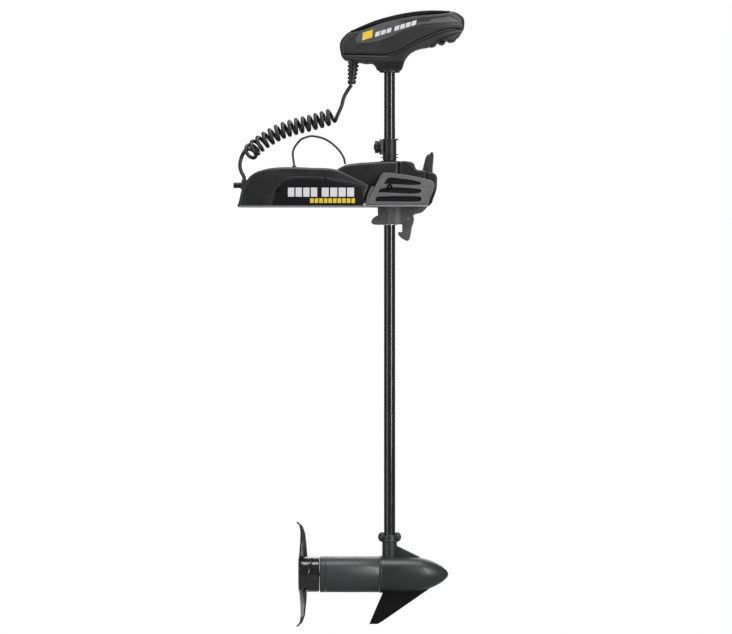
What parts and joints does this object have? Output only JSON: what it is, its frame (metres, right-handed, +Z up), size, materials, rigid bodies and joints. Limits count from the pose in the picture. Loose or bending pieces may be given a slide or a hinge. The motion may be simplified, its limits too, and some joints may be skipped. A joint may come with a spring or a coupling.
{
  "type": "trolling motor",
  "caption": "Bow-mount electric trolling motor: deck base with folding drive housing, long shaft with head and depth collar, and a finned motor pod with a bladed propeller.",
  "frame": {"origin": "middle of the base plate's underside, where it rests on the deck", "axes": "+Z up along the shaft, +X towards the motor's nose, +Y to the left of the boat"},
  "size_m": [0.578, 0.166, 1.5378],
  "materials": {
    "cover_black": "fine satin moulding",
    "panel_black": "matt moulding",
    "plate_grey": "satin grey moulding",
    "bracket_grey": "satin powder coat",
    "head_grey": "fine satin moulding",
    "gloss_black": "glossy black",
    "motor_paint": "satin paint on cast aluminium",
    "aluminium": "extruded, anodised",
    "steel": "machined",
    "rubber": "smooth, semi-gloss",
    "magnet": "ferrite",
    "board_green": "circuit board",
    "nylon": "natural nylon"
  },
  "bodies": {
    "base": {"base_plate": "aluminium", "base_cover": "cover_black", "side_panel_right": "panel_black", "side_panel_left": "panel_black", "side_frame_right": "panel_black", "side_frame_left": "panel_black", "side_plate_right": "plate_grey", "side_plate_left": "plate_grey", "plate_bolt_right": "steel", "plate_bolt_left": "steel", "pivot_cheek_right": "aluminium", "pivot_cheek_left": "aluminium", "pivot_pin": "steel", "control_box": "panel_black", "cord_gland": "rubber", "cable_grommet": "rubber", "power_lead_gland": "rubber", "cord_lead": "rubber", "cord_coil": "rubber", "cord_tail": "rubber", "arch_cable": "rubber"},
    "carriage": {"drive_housing": "cover_black", "drive_front_cover": "cover_black", "lower_bracket": "bracket_grey", "lower_bushing": "nylon", "upper_bushing": "nylon", "steering_motor": "steel", "hook_pin": "steel", "lever_pin": "steel"},
    "lever": {"release_lever": "head_grey"},
    "hook": {"latch_hook": "bracket_grey"},
    "pinion": {"pinion": "steel"},
    "steering": {"steering_tube": "aluminium", "ring_gear": "nylon"},
    "shaft": {"shaft_tube": "gloss_black", "head_upper_shell": "head_grey", "head_lower_shell": "head_grey", "head_top_strip": "gloss_black", "head_grip": "panel_black", "head_board": "board_green", "strain_relief": "rubber", "motor_can": "motor_paint", "rear_end_cap": "motor_paint", "rear_bearing": "steel", "nose_housing": "motor_paint", "front_bearing": "steel", "skeg": "cover_black", "magnet_upper": "magnet", "magnet_lower": "magnet", "brush_plate": "nylon", "clamp_ring": "motor_paint", "clamp_bolt_1": "steel", "clamp_bolt_2": "steel"},
    "collar": {"depth_collar": "cover_black"},
    "knob": {"collar_knob": "cover_black"},
    "prop": {"armature": "steel", "drive_pin": "steel", "propeller": "gloss_black", "prop_nut": "steel"}
  },
  "joints": [
    {"name": "tilt", "type": "hinge", "parent": "base", "child": "carriage", "pos_m": [0.031, 0, 0.042], "axis": [0, -1, 0], "range_deg": [0, 90], "deforming": ["cord_lead", "cord_coil", "cord_tail", "arch_cable"]},
    {"name": "steer", "type": "hinge", "parent": "carriage", "child": "steering", "pos_m": [0.143, 0, 0], "axis": [0, 0, 1], "range_deg": [-180, 180]},
    {"name": "pinion_turn", "type": "hinge", "parent": "carriage", "child": "pinion", "pos_m": [0.095, 0, 0.076], "axis": [0, 0, 1], "range_deg": [-540, 540]},
    {"name": "lift", "type": "slide", "parent": "steering", "child": "shaft", "axis": [0, 0, 1], "range_m": [0, 0.66]},
    {"name": "collar_slide", "type": "slide", "parent": "shaft", "child": "collar", "axis": [0, 0, 1], "range_m": [0, 0.15]},
    {"name": "knob_turn", "type": "hinge", "parent": "collar", "child": "knob", "pos_m": [0.143, 0, 0.15], "axis": [1, 0, 0], "range_deg": [-360, 360]},
    {"name": "prop_spin", "type": "hinge", "parent": "shaft", "child": "prop", "pos_m": [0.143, 0, -0.918], "axis": [1, 0, 0], "continuous": true},
    {"name": "lever_press", "type": "hinge", "parent": "carriage", "child": "lever", "pos_m": [0.232, 0, 0.084], "axis": [0, 1, 0], "range_deg": [-14, 0], "stiffness_Nm_per_rad": 2},
    {"name": "hook_turn", "type": "hinge", "parent": "carriage", "child": "hook", "pos_m": [0.19, 0, -0.03], "axis": [0, 1, 0], "range_deg": [0, 7]}
  ],
  "couplings": [
    {"joint": "pinion_turn", "follows": "steer", "ratio": -3},
    {"joint": "hook_turn", "follows": "lever_press", "ratio": -0.5}
  ]
}
